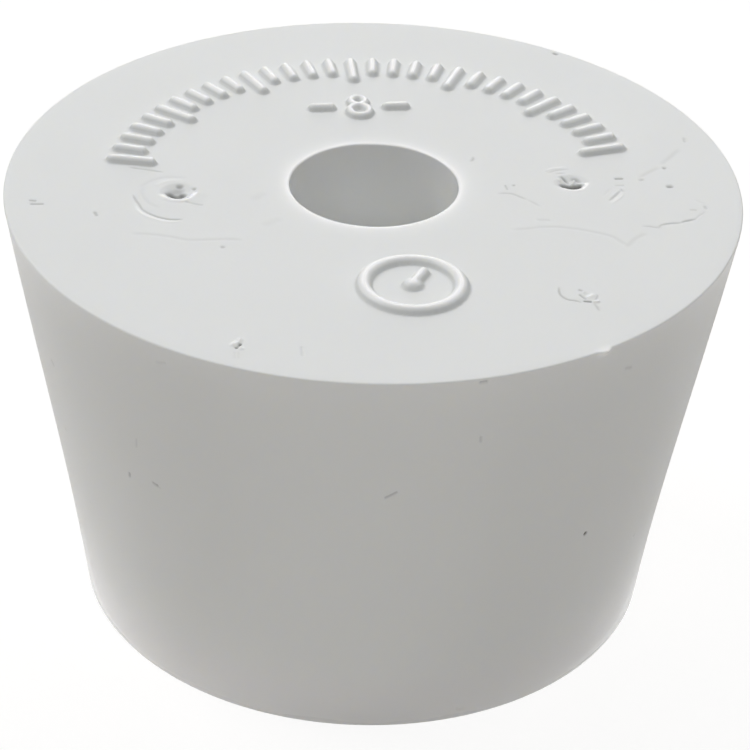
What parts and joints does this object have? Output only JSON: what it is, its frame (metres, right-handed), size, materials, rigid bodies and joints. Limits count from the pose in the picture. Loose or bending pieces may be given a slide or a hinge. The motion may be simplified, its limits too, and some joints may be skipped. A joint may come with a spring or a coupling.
{
  "type": "rubber stopper",
  "caption": "Tapered solid rubber stopper with a straight central bore; seals a flask, bottle or carboy neck and grips a tube or airlock stem in its bore.",
  "frame": {"origin": "centre of the small end face, where the bore's axis meets it", "axes": "+Z along the bore's axis from the small end to the wide end; the arc of raised ribs on the wide end is centred on +Y and the two gate pits lie just in front of the X axis, on the -Y side"},
  "size_m": [0.041, 0.041, 0.0256],
  "materials": {
    "white_rubber": "satin moulded white rubber, slightly greyed"
  },
  "bodies": {
    "root": {"stopper": "white_rubber"}
  },
  "joints": []
}
